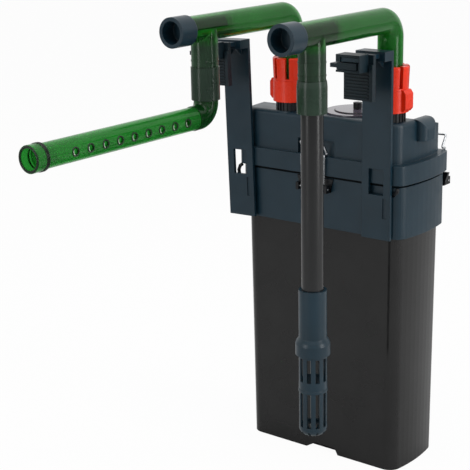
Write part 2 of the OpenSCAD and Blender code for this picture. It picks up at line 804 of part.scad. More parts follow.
module latch_base() color(black) {
    difference() {
        union() {
            latch_face(0, latch_back, latch_back - 1);
            latch_lugs(0);
        }
        for (s = [-1, 1]) translate([s * lug_x - lug_w, -pivot_out, pivot_z]) rotate([0, 90, 0])
            cylinder(r = pin_r + pin_fit, h = 2 * lug_w);
    }
}

// One bent wire: a pin at each foot, a leg up each side, over the flange, and a finger loop
module latch_wire() color(steel) {
    foot = bail_foot_w / 2;
    top = bail_top_w / 2;
    level = flange_top + wire_r + slip;
    tip = [top, -loop_out, flange_top + bail_loop_h];
    half = [[foot + 0.8, -pivot_out, pivot_z], [foot - 0.8, -pivot_out, pivot_z], [top, -pivot_out, level],
        [top, bail_over, level], tip, [0, tip[1], tip[2]]];
    bends = [for (i = [1:4]) each rounded(half[i - 1], half[i], half[i + 1], wire_bend)];
    swept(mirrored(concat([half[0]], bends)), wire_r);
    for (s = [-1, 1]) translate([s * (foot + 2.1), -pivot_out, pivot_z]) rotate([0, 90, 0])
        cylinder(r = pin_r, h = 3.6, center = true);
}

// A half path and its mirror image, end to end
function mirrored(half) = concat([for (p = half) [-p[0], p[1], p[2]]],
    [for (i = [len(half) - 1:-1:0]) half[i]]);

module latch_base_front() at_front() latch_base();
module latch_base_back_left() at_back(-1) latch_base();
module latch_base_back_right() at_back(1) latch_base();
module latch_wire_front() at_front() latch_wire();
module latch_wire_back_left() at_back(-1) latch_wire();
module latch_wire_back_right() at_back(1) latch_wire();

/* Hangers: every piece is drawn round x = 0 with its foot at the collar's bottom edge */

module place_right() translate([hanger_right_x, 0, 0]) children();
module place_left() translate([hanger_left_x, 0, collar_z]) rotate([0, -hanger_lean, 0])
    translate([0, 0, -collar_z]) children();

module hanger(pad_x, pad_w) color(teal) {
    tongue_w = window_w - 1;
    difference() {
        union() {
            translate([-strip_w / 2, strip_front, collar_z]) cube([strip_w, strip_t, hanger_h]);
            translate([-strip_w / 2, strip_front - arm_root, arm_z]) cube([strip_w, arm_root + eps, arm_h]);
            translate([-rail_w / 2, block_front + 1, rail_z])
                cube([rail_w, strip_front - block_front, rail_h]);
            translate([pad_x - pad_w / 2, strip_back - eps, collar_z + 2])
                cube([pad_w, -collar_d / 2 - strip_back + eps, collar_drop - 6]);
            for (s = [-1, 1]) translate([s * 5 - 0.8, strip_front, arm_z]) rotate([0, 90, 0])
                linear_extrude(1.6) polygon([[0.5, 0.5], [0.5, -6], [6, 0.5]]);
        }
        translate([-window_w / 2, strip_front - 1, collar_z + window_z])
            cube([window_w, strip_t + 2, window_h]);
        translate([tongue_w / 2, strip_front - 1, collar_z + window_z - tongue_h - 2])
            cube([3, 1.9, tongue_h]);
    }
}

module hanger_left() place_left() hanger(6, 8);
module hanger_right() place_right() hanger(0, 18);

module clamp_jaw() color(teal) {
    rib_h = jaw_rib_pitch / 2;
    rib_z = jaw_z + 1.2;
    rib_room = arm_z - 5 - rib_z;
    difference() {
        union() {
            translate([-strip_w / 2, jaw_front, jaw_z]) cube([strip_w, jaw_t, hanger_top - jaw_z]);
            translate([block_x, block_front, block_z])
                cube([block_w, block_l + eps, hanger_top + 0.6 - block_z]);
            for (i = [0:jaw_ribs - 1]) if (i * jaw_rib_pitch + rib_h < rib_room)
                translate([-strip_w / 2 + 0.6, jaw_front - 0.9, rib_z + i * jaw_rib_pitch])
                    cube([strip_w - 4.6, 1, rib_h]);
            translate([strip_w / 2 - 3, jaw_front - 1.4, jaw_z]) cube([3, 1.5, arm_z - jaw_z]);
        }
        translate([-rail_w / 2 - slip, block_front - 1, rail_z - slip])
            cube([rail_w + 2 * slip, block_l + jaw_t + 2, rail_h + 2 * slip]);
        translate([block_x - 1, block_front - 1, lever_z - slip])
            cube([lever_pin_x + 4.2 - block_x + 1, block_l - 0.2, rail_z - lever_z]);
        translate([lever_pin_x, block_front + 5, block_z - 1])
            cylinder(r = lever_pin_r + pin_fit, h = block_floor + 2);
    }
}

module clamp_jaw_left() place_left() clamp_jaw();
module clamp_jaw_right() place_right() clamp_jaw();

// The lever turns on a stub in the block's floor, and its tip stands out beside the block
module clamp_lever() color("#3a4c57") {
    deep = block_l - 2.4;
    difference() {
        union() {
            translate([block_x + 0.3, block_front + 0.4, lever_z])
                cube([lever_pin_x + 2.6 - block_x - 0.3, deep, lever_t]);
            translate([block_x - lever_tip, block_front + 1.6, lever_z + 1])
                cube([lever_tip + 1, deep - 3, lever_t - 2]);
            translate([lever_pin_x, block_front + 5, block_z + 0.2])
                cylinder(r = lever_pin_r, h = lever_z - block_z);
        }
        translate([block_x, block_front, lever_z + lever_t]) rotate([30, 0, 0])
            translate([-5, -6, 0]) cube([40, 6, 4]);
    }
}

module clamp_lever_left() place_left() clamp_lever();
module clamp_lever_right() place_right() clamp_lever();

/* Pipes */

// A green pipe: up from its nozzle, over the rim, and down a leg from its tee
module green_pipe(x, leg_y, leg_d, leg_z, bead_z) color(green, 0.75) {
    run = leg_y + tee_front - nozzle_y - bend_r;
    rise = pipe_z - bend_r - pipe_foot;
    difference() {
        union() {
            translate([x, -nozzle_y, pipe_foot + nest]) cylinder(r = pipe_r, h = rise - nest);
            bend_up(x, -nozzle_y, pipe_z, bend_r, pipe_r);
            rod_y(x, -nozzle_y - bend_r, pipe_z, pipe_r, run);
            translate([x, -leg_y, leg_z]) cylinder(d = leg_d, h = pipe_z - leg_z);
            for (z = bead_z) translate([x, -leg_y, z]) cylinder(d = leg_d + 0.6, h = 1);
        }
        translate([x, -nozzle_y, pipe_foot - 1]) cylinder(r = pipe_bore, h = rise + 1);
        bend_up(x, -nozzle_y, pipe_z, bend_r, pipe_bore);
        rod_y(x, -nozzle_y - bend_r, pipe_z, pipe_bore, run + 1);
        translate([x, -leg_y, leg_z - 1]) cylinder(r = leg_bore, h = pipe_z - leg_z + 1);
    }
}

module outlet_pipe() color(green, 0.75) {
    green_pipe(outlet_x, outlet_leg_y, outlet_leg_d, outlet_leg_z, [outlet_leg_z + 4]);
    translate([outlet_x, -outlet_leg_y, outlet_leg_z - sleeve_l / 2]) difference() {
        cylinder(r = elbow_r + slip - nest, h = sleeve_l / 2 + 1);
        translate([0, 0, -1]) cylinder(r = leg_bore - nest, h = sleeve_l);
    }
}

module intake_pipe() green_pipe(intake_x, intake_leg_y, intake_leg_d, intake_leg_z,
    [intake_leg_z + intake_sleeve_up + 3, intake_leg_z + intake_sleeve_up + 12]);

// A socket in front of the tee, with a half shell that turns inside the pipe
module flow_plug(x, front, shell_l, turn) color(teal)
    translate([x, -front - slip, pipe_z]) rotate([90, 0, 0]) {
    shell_r = pipe_bore - slip;
    web = 2;
    difference() {
        union() {
            cylinder(d = plug_d, h = plug_l);
            rotate(turn) intersection() {
                translate([0, 0, -shell_l]) cylinder(r = shell_r, h = shell_l + 1);
                union() {
                    translate([-shell_r, 0, -shell_l]) cube([2 * shell_r, shell_r, shell_l + 2]);
                    translate([-shell_r, -shell_r, -3]) cube([2 * shell_r, 2 * shell_r, 4]);
                }
            }
        }
        translate([0, 0, -shell_l - 1])
            cylinder(r = shell_r - shell_wall, h = shell_l + plug_l - plug_deep - web + 1);
        translate([0, 0, plug_l - plug_deep]) cylinder(d = plug_bore, h = plug_deep + 1);
    }
}

module flow_plug_outlet() flow_plug(outlet_x, outlet_leg_y + tee_front, outlet_shell_l, 0);
module flow_plug_intake() flow_plug(intake_x, intake_leg_y + tee_front, intake_shell_l, -90);

module outlet_sleeve() color("#33402f") translate([outlet_x, -outlet_leg_y, sleeve_z]) difference() {
    cylinder(d = sleeve_d, h = sleeve_l - eps);
    translate([0, 0, -1]) cylinder(r = elbow_r + slip, h = sleeve_l + 2);
}

module spray_elbow() color(green, 0.75) {
    stub = 4.8;
    bore = elbow_r - 2.4;
    top = outlet_leg_z - sleeve_l / 2 - slip;
    bend_z = bar_z + elbow_bend;
    difference() {
        union() {
            translate([outlet_x, -outlet_leg_y, bend_z]) cylinder(r = elbow_r, h = top - bend_z);
            bend_down(elbow_r);
            rod_y(outlet_x, -outlet_leg_y - elbow_bend, bar_z, elbow_r, elbow_reach - elbow_bend);
        }
        translate([outlet_x, -outlet_leg_y, bend_z - eps]) cylinder(r = bore, h = 30);
        bend_down(bore);
        rod_y(outlet_x, -outlet_leg_y - elbow_bend + eps, bar_z, bore, 30);
        rod_y(outlet_x, -elbow_front + stub, bar_z, bar_spigot + slip, 30);
    }
}

module bend_down(r) translate([outlet_x, -outlet_leg_y - elbow_bend, bar_z + elbow_bend])
    rotate([90, 0, 90]) rotate([0, 0, -90]) rotate_extrude(angle = 90) translate([elbow_bend, 0]) circle(r);

module spray_bar() color(green, 0.75) {
    start = elbow_front + slip;
    spigot_l = 4.4;
    difference() {
        union() {
            rod_y(outlet_x, -start, bar_z, bar_r, bar_end - start);
            rod_y(outlet_x, -start + spigot_l, bar_z, bar_spigot, spigot_l + 1);
        }
        rod_y(outlet_x, -start - 2, bar_z, bar_r - bar_wall, bar_l);
        rod_y(outlet_x, -start + spigot_l + 1, bar_z, bar_spigot - 1.3, 10);
        for (i = [0:spray_holes - 1])
            translate([outlet_x, -elbow_front - spray_first - i * spray_pitch, bar_z])
            rotate([0, 90, 0]) cylinder(d = spray_d, h = bar_r + 1);
    }
}

module spray_end_cap() color(green, 0.75) difference() {
    union() {
        rod_y(outlet_x, -bar_end - slip, bar_z, cap_d / 2, cap_l);
        rod_y(outlet_x, -bar_end - slip + cap_plug_l, bar_z, bar_r - bar_wall - slip, cap_plug_l + 1);
    }
    rod_y(outlet_x, -bar_end - slip - cap_l + cap_deep, bar_z, cap_d / 2 - 2.2, cap_deep + 1);
}

/* Intake tube and strainer */

module intake_sleeve() color("#33402f") translate([intake_x, -intake_leg_y, intake_leg_z]) rotate_extrude()
    polygon([[leg_bore, -intake_sleeve_l], [intake_sleeve_d / 2, -intake_sleeve_l],
        [intake_sleeve_d / 2, intake_sleeve_up - 4.1], [intake_leg_d / 2 + nest + 0.4, intake_sleeve_up],
        [intake_leg_d / 2 + nest, intake_sleeve_up], [intake_leg_d / 2 + nest, -eps], [leg_bore, -eps]]);

module intake_tube() color(black)
    translate([intake_x, -intake_leg_y, couple_top - tube_seat]) difference() {
    cylinder(r = tube_r, h = tube_top - couple_top + tube_seat);
    translate([0, 0, -1]) cylinder(r = tube_r - tube_wall, h = tube_top);
}

module strainer_coupling() color(teal) translate([intake_x, -intake_leg_y, ring_z]) rotate_extrude()
    polygon([[neck_r + slip, 0], [ring_d / 2, 0], [ring_d / 2, ring_h - 4.2],
        [ring_d / 2 - 0.8, ring_h - 1.8], [couple_d / 2, ring_h + 0.5],
        [couple_d / 2, ring_h + couple_l], [tube_r + pin_fit, ring_h + couple_l],
        [tube_r + pin_fit, ring_h + couple_l - tube_seat],
        [tube_r - tube_wall, ring_h + couple_l - tube_seat],
        [tube_r - tube_wall, basket_neck + 3], [neck_r + slip, basket_neck + 1]]);

// A basket's outline: a tube with a rounded foot
module basket_half(r, foot, h, round) {
    translate([0, foot]) square([r - round, h - foot]);
    translate([0, foot + round]) square([r, h - foot - round]);
    intersection() {
        translate([r - round, foot + round]) circle(round);
        square([2 * r, h]);
    }
}

module strainer_basket() color(teal) translate([intake_x, -intake_leg_y, basket_z]) {
    r = basket_d / 2;
    low_z = 7.1;
    band_z = low_z + slot_low_h;
    difference() {
        union() {
            rotate_extrude() difference() {
                basket_half(r, 0, basket_l, 5.5);
                basket_half(r - basket_wall, basket_wall, basket_l + 1, 4);
            }
            translate([0, 0, band_z]) rotate_extrude() translate([r - 0.5, 0]) square([0.8, 2]);
            translate([0, 0, basket_l - 2]) rotate_extrude() translate([neck_r - 1.5, 0])
                square([1.5, basket_neck + 2]);
            translate([0, 0, basket_l - 2]) rotate_extrude() translate([neck_r - 1.5, 0])
                square([r - neck_r + 1.5, 2]);
        }
        for (i = [0:basket_slots - 1]) rotate(360 * i / basket_slots) {
            translate([r / 2, -basket_slot_w / 2, low_z]) cube([r, basket_slot_w, slot_low_h]);
            translate([r / 2, -basket_slot_w / 2, band_z + slot_band]) cube([r, basket_slot_w, slot_up_h]);
            translate([r / 2, -1, -1]) cube([r, 2, 4.5]);
        }
    }
}

/* Pump and media */

module motor_block() color("#202224") difference() {
    translate([vent_x - motor_l / 2, -motor_d / 2, flange_z])
        cube([motor_l, motor_d, motor_top - flange_z]);
    translate([vent_x, 0, flange_z - 1]) cylinder(r = well_r, h = well_top - flange_z + 1);
    roof_cut(roof_t + 1.5);
}

module volute_housing() color(black) {
    arm_w = 2 * port_r + 6;
    arm_x = outlet_x - port_r - 3;
    difference() {
        union() {
            translate([vent_x, 0, volute_z]) cylinder(r = volute_r + volute_wall, h = volute_h);
            translate([arm_x, port_y - arm_w / 2, volute_z]) cube([vent_x - arm_x, arm_w, volute_h]);
        }
        translate([vent_x, 0, volute_z - 1]) cylinder(r = volute_r, h = volute_h + 2);
        translate([arm_x + volute_wall, port_y - arm_w / 2 + volute_wall, volute_z + volute_wall])
            cube([vent_x - arm_x - volute_r / 2, arm_w - 2 * volute_wall, volute_h - 2 * volute_wall]);
        translate([outlet_x, port_y, base_z - volute_wall - 1])
            cylinder(r = port_r + nest, h = volute_wall + 2);
    }
}

module volute_cover() color(black) translate([vent_x, 0, volute_z - cover_t]) {
    eye = 12;
    difference() {
        cylinder(r = volute_r + volute_wall, h = cover_t);
        translate([0, 0, -1]) cylinder(r = eye, h = cover_t + 2);
    }
    difference() {
        union() {
            cylinder(r = 6, h = cover_t);
            for (i = [0:2]) rotate(120 * i) translate([3, -1.5, 0]) cube([eye - 2, 3, cover_t]);
        }
        translate([0, 0, -1]) cylinder(r = bush_r + nest, h = cover_t + 2);
    }
}

module impeller() color("#dfe3e6") translate([vent_x, 0, 0]) difference() {
    hub_z = volute_z + 3;
    union() {
        translate([0, 0, base_z + 1]) cylinder(r = magnet_r, h = rotor_top - base_z - 1);
        translate([0, 0, hub_z]) cylinder(r = 5, h = base_z + 2 - hub_z);
        for (i = [0:blades - 1]) rotate(360 * i / blades)
            translate([3, -0.8, hub_z]) cube([blade_r - 3, 1.6, 13]);
    }
    translate([0, 0, hub_z - 1]) cylinder(r = shaft_r + pin_fit, h = rotor_top);
}

module impeller_shaft() color("#f2f2ee") translate([vent_x, 0, volute_z - cover_t + 0.5])
    cylinder(r = shaft_r, h = well_top - volute_z + cover_t - 1);

module shaft_bushes() color(black) translate([vent_x, 0, 0]) {
    difference() {
        translate([0, 0, rotor_top + 1]) cylinder(r = well_r - nest, h = well_top - rotor_top - 1);
        translate([0, 0, rotor_top]) cylinder(r = shaft_r + eps, h = 9);
    }
    difference() {
        translate([0, 0, volute_z - cover_t]) cylinder(r = bush_r, h = cover_t);
        translate([0, 0, volute_z - cover_t - 1]) cylinder(r = shaft_r + eps, h = cover_t + 2);
    }
}

module intake_duct() color(black) translate([intake_x, port_y, duct_foot]) difference() {
    cylinder(r = duct_r, h = base_z - duct_foot - nest);
    translate([0, 0, -1]) cylinder(r = port_r + nest, h = base_z);
    for (turn = [0, 90]) rotate(turn) translate([-duct_r - 1, -3, -1]) cube([2 * duct_r + 2, 6, 9]);
}

module round_box(l, d, r) {
    square([l - 2 * r, d], center = true);
    square([l, d - 2 * r], center = true);
    for (sx = [-1, 1], sy = [-1, 1]) translate([sx * (l / 2 - r), sy * (d / 2 - r)]) circle(r);
}

module media_basket(level) color("#1d2022") translate([tray_x, 0, tray_z + level * tray_h]) difference() {
    slots = 12;
    linear_extrude(tray_h) round_box(tray_l, tray_d, 4);
    translate([0, 0, tray_floor]) linear_extrude(tray_h) round_box(media_l, media_d, 4 - tray_wall);
    for (i = [0:slots - 1])
        translate([(i - (slots - 1) / 2) * tray_l / (slots + 1) - 1.6, -tray_d / 2 + 7, -1])
        cube([3.2, tray_d - 14, tray_floor + 2]);
}

module media_basket_lower() {
    media_basket(0);
    color("#1d2022") for (sx = [-1, 1], sy = [-1, 1])
        translate([tray_x + sx * tray_l * 0.42, sy * tray_d * 0.4, can_wall])
        cylinder(r = 3, h = tray_foot);
}
module media_basket_middle() media_basket(1);
module media_basket_upper() media_basket(2);

// Ceramic rings stand in two layers in the lower basket
module ceramic_media() color("#e9e4d8")
    for (layer = [0, 1], i = [0:ring_cols - 1], j = [0:ring_rows - 1])
        translate([tray_x + (i - (ring_cols - 1) / 2) * media_l / ring_cols,
            (j - (ring_rows - 1) / 2) * media_d / ring_rows, tray_z + tray_floor + layer * ring_l])
        difference() {
            cylinder(d = ring_od, h = ring_l - layer * 2);
            translate([0, 0, -1]) cylinder(d = ring_od / 2, h = ring_l + 2);
        }

module pad(level, tint) color(tint) translate([tray_x, 0, tray_z + level * tray_h + tray_floor])
    linear_extrude(tray_h - tray_floor - 4) round_box(media_l - 2 * pad_gap, media_d - 2 * pad_gap, 3);

module coarse_foam() pad(1, "#27406b");
module fine_foam() pad(2, "#f0f0ea");

canister();
canister_collar();
rim_seal();
pump_head();
nose_cover();
vent_plate();
vent_knob();
cable_gland();
head_base();
head_screws();
inlet_nozzle();
outlet_nozzle();
nozzle_seals();
lock_collar_intake();
lock_collar_outlet();
latch_base_front();
latch_base_back_left();
latch_base_back_right();
latch_wire_front();
latch_wire_back_left();
latch_wire_back_right();
hanger_left();
hanger_right();
clamp_jaw_left();
clamp_jaw_right();
clamp_lever_left();
clamp_lever_right();
outlet_pipe();
intake_pipe();
flow_plug_outlet();
flow_plug_intake();
outlet_sleeve();
spray_elbow();
spray_bar();
spray_end_cap();
intake_sleeve();
intake_tube();
strainer_coupling();
strainer_basket();
motor_block();
volute_housing();
volute_cover();
impeller();
impeller_shaft();
shaft_bushes();
intake_duct();
media_basket_lower();
media_basket_middle();
media_basket_upper();
ceramic_media();
coarse_foam();
fine_foam();
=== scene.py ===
"""Dresses a canister filter: a latched head on a smoked canister, clear green pipes and rim clamps."""
import logging
import math
from dataclasses import dataclass
from enum import Enum
from typing import Any

import bpy
from mathutils import Matrix, Vector


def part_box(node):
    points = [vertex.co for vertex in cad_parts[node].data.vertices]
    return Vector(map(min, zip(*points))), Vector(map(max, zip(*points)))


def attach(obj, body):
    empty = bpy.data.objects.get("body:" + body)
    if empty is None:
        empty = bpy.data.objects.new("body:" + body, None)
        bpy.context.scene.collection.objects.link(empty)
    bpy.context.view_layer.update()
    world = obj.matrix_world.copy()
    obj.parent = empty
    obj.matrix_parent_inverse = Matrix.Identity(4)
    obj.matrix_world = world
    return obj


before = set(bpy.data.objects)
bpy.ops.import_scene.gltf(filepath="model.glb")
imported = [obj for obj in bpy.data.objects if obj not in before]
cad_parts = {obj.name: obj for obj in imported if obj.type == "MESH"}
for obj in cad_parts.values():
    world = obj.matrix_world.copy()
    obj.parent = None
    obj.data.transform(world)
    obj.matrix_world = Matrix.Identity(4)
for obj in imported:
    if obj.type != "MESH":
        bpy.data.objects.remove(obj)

LOG = logging.getLogger("canister_filter")
MM = 0.001
METRE = 1000.0
SHARP_DEGREES = 32
PATCH_MM = 14.0
GLOSS_LOW, GLOSS_HIGH = 0.85, 1.2
GRAIN_STRENGTH = 0.35
RING_STEPS = 48

Point = tuple[float, float, float]
Tree = bpy.types.NodeTree
Node = bpy.types.Node
Socket = bpy.types.NodeSocket


def linear_colour(code: str) -> tuple[float, float, float, float]:
    """Turns an sRGB hex colour into Blender's linear colour.

    Args:
        code: Six hex digits after a hash sign.

    Returns:
        Linear red, green, blue and an alpha of one.
    """
    def channel(pair: str) -> float:
        value = int(pair, 16) / 255
        return value / 12.92 if value <= 0.04045 else ((value + 0.055) / 1.055) ** 2.4

    return channel(code[1:3]), channel(code[3:5]), channel(code[5:7]), 1.0


def add_node(tree: Tree, kind: str, settings: dict[str | int, Any] | None = None,
             links: dict[str | int, Socket] | None = None) -> Node:
    """Adds one node, sets its sockets or properties, and wires its inputs.

    Args:
        tree: The material's or world's node tree.
        kind: Blender's name of the node type.
        settings: Input or property name to value.
        links: Input name to the output that feeds it.

    Returns:
        The new node.
    """
    node = tree.nodes.new(kind)
    for name, value in (settings or {}).items():
        if isinstance(name, int) or name in node.inputs:
            node.inputs[name].default_value = value
        else:
            setattr(node, name, value)
    for name, output in (links or {}).items():
        tree.links.new(output, node.inputs[name])
    return node


class Gloss(Enum):
    """How a mould, die or kiln left a surface, and how matt the painted glints are, as the shader's roughness.
    """

    MIRROR = 0.08
    DRAWN_CLEAR = 0.14
    MOULDED_CLEAR = 0.16
    EXTRUDED = 0.2
    WIRE = 0.25
    SMOOTH = 0.26
    CAST = 0.3
    LOW_SATIN = 0.34
    SATIN = 0.38
    RIBBED = 0.4
    # Matt enough for the painted glints at the spray holes.
    GLINT_MATT = 0.45
    FERRITE = 0.5
    RUBBER = 0.75
    CHALK = 0.85
    FOAM = 0.95


@dataclass(frozen=True)
class Finish:
    """One real material and the way its surface was made."""

    name: str
    colour: str
    drift: str
    gloss: Gloss
    shine: float = 0.5
    ior: float = 1.5
    metallic: float = 0.0
    drift_mm: float = 30.0
    grain_mm: float = 0.5
    grain_depth_mm: float = 0.01
    edge_mm: float = 0.35

    def make(self) -> bpy.types.Material:
        """Builds the material once and hands it out again afterwards.

        Returns:
            The Blender material.
        """
        found = bpy.data.materials.get(self.name)
        if found:
            return found
        material = bpy.data.materials.new(self.name)
        material.use_nodes = True
        tree = material.node_tree
        shader = tree.nodes["Principled BSDF"]
        shader.inputs["Metallic"].default_value = self.metallic
        shader.inputs["Specular IOR Level"].default_value = self.shine
        if not self.metallic:
            shader.inputs["IOR"].default_value = self.ior
        where = add_node(tree, "ShaderNodeTexCoord").outputs["Object"]
        self.tint(tree, shader, where)
        self.polish(tree, shader, where)
        self.relief(tree, shader, where)
        return material

    def tint(self, tree: Tree, shader: Node, where: Socket) -> None:
        """Lets the colour drift slowly between two close shades, as pigment does in a moulding.

        Args:
            tree: The material's node tree.
            shader: The surface shader.
            where: The object coordinates.
        """
        cloud = add_node(tree, "ShaderNodeTexNoise", {"Scale": METRE / self.drift_mm, "Detail": 2.0},
                         {"Vector": where})
        ramp = add_node(tree, "ShaderNodeValToRGB", links={"Fac": cloud.outputs["Fac"]})
        low, high = ramp.color_ramp.elements
        low.position, low.color = 0.35, linear_colour(self.colour)
        high.position, high.color = 0.7, linear_colour(self.drift)
        tree.links.new(ramp.outputs["Color"], shader.inputs["Base Color"])

    def polish(self, tree: Tree, shader: Node, where: Socket) -> None:
        """Varies the gloss in faint patches, as handling and mould release leave it.

        Args:
            tree: The material's node tree.
            shader: The surface shader.
            where: The object coordinates.
        """
        patch = add_node(tree, "ShaderNodeTexNoise", {"Scale": METRE / PATCH_MM, "Detail": 4.0},
                         {"Vector": where})
        level = add_node(tree, "ShaderNodeMapRange", {"From Min": 0.3, "From Max": 0.7,
                         "To Min": self.gloss.value * GLOSS_LOW, "To Max": self.gloss.value * GLOSS_HIGH},
                         {"Value": patch.outputs["Fac"]})
        tree.links.new(level.outputs["Result"], shader.inputs["Roughness"])

    def relief(self, tree: Tree, shader: Node, where: Socket) -> None:
        """Adds the fine texture of the tool and softens the sharp edges as a mould's radii do.

        Args:
            tree: The material's node tree.
            shader: The surface shader.
            where: The object coordinates.
        """
        soft = add_node(tree, "ShaderNodeBevel", {"Radius": self.edge_mm * MM, "samples": 4})
        grain = add_node(tree, "ShaderNodeTexNoise", {"Scale": METRE / self.grain_mm, "Detail": 1.0},
                         {"Vector": where})
        depth = self.grain_depth_mm * MM
        bump = add_node(tree, "ShaderNodeBump", {"Strength": GRAIN_STRENGTH, "Distance": depth},
                        {"Height": grain.outputs["Fac"], "Normal": soft.outputs["Normal"]})
        tree.links.new(bump.outputs["Normal"], shader.inputs["Normal"])


@dataclass(frozen=True)
class PaintedStretch:
    """A stretch of clear pipe, found by height and depth, with its own tint and clearness: a painted grey-green
    shade where a sleeve lies nested inside, and a painted paler green where the wall is clearest.
    """

    colour: str
    low_mm: float
    high_mm: float
    front_mm: float
    clearness: float
    soft_mm: float = 3.0

    def share(self, tree: Tree, where: Socket) -> Socket:
        """Measures how far a point lies inside the stretch, from nought to one.

        Args:
            tree: The material's node tree.
            where: The object coordinates.

        Returns:
            The output that carries the share.
        """
        axes = add_node(tree, "ShaderNodeSeparateXYZ", links={"Vector": where})
        total = None
        for axis, start, way in (("Z", self.low_mm, 1), ("Z", self.high_mm, -1), ("Y", -self.front_mm, -1)):
            edge = add_node(tree, "ShaderNodeMapRange", {"From Min": (start - way * self.soft_mm) * MM,
                            "From Max": (start + way * self.soft_mm) * MM}, {"Value": axes.outputs[axis]})
            inside = edge.outputs["Result"]
            if total is not None:
                inside = add_node(tree, "ShaderNodeMath", {"operation": "MULTIPLY"},
                                  {0: total, 1: inside}).outputs["Value"]
            total = inside
        return total


@dataclass(frozen=True)
class ClearPlastic(Finish):
    """Tinted acrylic that was extruded or moulded without a texture, so it is clear and glossy."""

    shine: float = 0.4
    ior: float = 1.3
    grain_mm: float = 8.0
    grain_depth_mm: float = 0.001
    clearness: float = 0.7
    stretches: tuple[PaintedStretch, ...] = ()

    def tint(self, tree: Tree, shader: Node, where: Socket) -> None:
        """Tints the light that passes through the wall, and paints each stretch's tint over it by position.

        Args:
            tree: The material's node tree.
            shader: The surface shader.
            where: The object coordinates.
        """
        Finish.tint(self, tree, shader, where)
        colour, clear = shader.inputs["Base Color"], shader.inputs["Transmission Weight"]
        clear.default_value = self.clearness
        # Painted by position: a grey-green shade on the nested leg and a paler green round the tee.
        for part in self.stretches:
            share = part.share(tree, where)
            mix = add_node(tree, "ShaderNodeMixRGB", {"Color2": linear_colour(part.colour)},
                           {"Fac": share, "Color1": colour.links[0].from_socket})
            tree.links.new(mix.outputs["Color"], colour)
            level = add_node(tree, "ShaderNodeMath", {"operation": "MULTIPLY_ADD",
                             1: part.clearness - self.clearness, 2: self.clearness}, {0: share})
            if clear.links:
                tree.links.new(clear.links[0].from_socket, level.inputs[2])
            tree.links.new(level.outputs["Value"], clear)


# ABS moulded in a lightly spark-eroded tool: dark, with a low satin sheen on the rounded edges.
TEAL_ABS = Finish("teal_moulded_abs", "#0f2631", "#132b37", Gloss.LOW_SATIN, shine=0.3, grain_mm=0.35,
                  edge_mm=0.9)
# The same ABS on the ribbed jaws and levers, from a rougher tool, with the shade the ribs cast on each other
# painted in as a darker teal.
SHADED_RIBBED_ABS = Finish("teal_ribbed_abs_painted_shade", "#0a1a21", "#0d1f27", Gloss.RIBBED, shine=0.22, grain_mm=0.35,
                    edge_mm=0.5)
# Smoked SAN moulded in a polished tool: almost black, with clear reflections at the corners.
SMOKED_SAN = Finish("smoked_moulded_san", "#181818", "#1d1d1d", Gloss.MOULDED_CLEAR, shine=0.24, ior=1.57,
                    grain_depth_mm=0.002, grain_mm=6.0)
# Green acrylic: light goes through both walls and comes out a full green, and the rims stay dark.
# The wall is clearest round the tee, so the plug's dark shell shows, and there its green is painted paler; the
# nested leg gets a painted grey-green shade, by height and depth.
GREEN_ACRYLIC = ClearPlastic(
    "green_clear_acrylic", "#288b30", "#2f9536", Gloss.DRAWN_CLEAR, clearness=0.72, stretches=(
        PaintedStretch("#47684f", 0.0, 349.0, 112.0, 0.72), PaintedStretch("#4d9a50", 349.0, 400.0, 106.0, 0.98)))
# The intake pipe's acrylic, a shade deeper, with its painted paler tee and painted leg shade a little further
# back.
INTAKE_ACRYLIC = ClearPlastic(
    "green_clear_acrylic_intake", "#25802d", "#2b8b33", Gloss.DRAWN_CLEAR, clearness=0.72, stretches=(
        PaintedStretch("#435f4a", 0.0, 349.0, 108.0, 0.72), PaintedStretch("#4d9a50", 349.0, 400.0, 101.0, 0.98)))
# The drilled bar's acrylic: its thin wall lets the light through, so it is the brightest green.
DARK_GREEN_ACRYLIC = ClearPlastic("dark_green_clear_acrylic", "#2f9a3a", "#36a440", Gloss.MOULDED_CLEAR)
# The elbow's moulded acrylic: its thick wall turns the light to a bottle green.
DEEP_GREEN_ACRYLIC = ClearPlastic("deep_green_moulded_acrylic", "#1b5825", "#1f622a", Gloss.MOULDED_CLEAR,
                                  clearness=0.65)
# Three walls of the acrylic inside one another: little light comes back, so it turns olive grey.
OLIVE_ACRYLIC = ClearPlastic("olive_nested_acrylic", "#33463a", "#3a4e40", Gloss.MOULDED_CLEAR,
                             clearness=0.35)
# Painted shade: olive acrylic at the rims, where the eye looks along the wall and little light comes through.
PAINTED_SHADE_ACRYLIC = ClearPlastic("olive_acrylic_painted_shade", "#18241a", "#1e2c1f", Gloss.MOULDED_CLEAR, shine=0.5,
                           clearness=0.2)
# Painted highlights: pale arcs on one side of each spray hole's edge, standing in for glints of light.
GLINT_ACRYLIC = Finish("pale_acrylic_painted_glint", "#b9cdb4", "#c9dac4", Gloss.GLINT_MATT, grain_mm=0.3)
# Orange-red ABS from a smoother tool: a bright colour with a firm highlight.
ORANGE_ABS = Finish("orange_moulded_abs", "#dc2c0c", "#e43210", Gloss.SMOOTH, shine=0.28)
# Black glass-filled nylon: dull between the ribs, with glints on the edges.
BLACK_NYLON = Finish("black_moulded_nylon", "#0b0d10", "#101317", Gloss.SATIN, shine=0.25, grain_mm=0.3)
# Extruded black PVC tube: glossy, with long straight highlights.
BLACK_PVC = Finish("black_extruded_pvc", "#121314", "#161718", Gloss.EXTRUDED, shine=0.35, ior=1.54,
                   grain_mm=3.0, grain_depth_mm=0.003)
# Stainless wire, drawn through a die: bright with fine lines along it.
DRAWN_STEEL = Finish("drawn_stainless_wire", "#b9bbbe", "#c8cacc", Gloss.WIRE, metallic=1.0, grain_mm=0.4)
# Nitrile rubber, moulded and unpolished: it soaks up the light.
NITRILE = Finish("black_moulded_nitrile", "#050506", "#090a0a", Gloss.RUBBER, shine=0.1, ior=1.52)
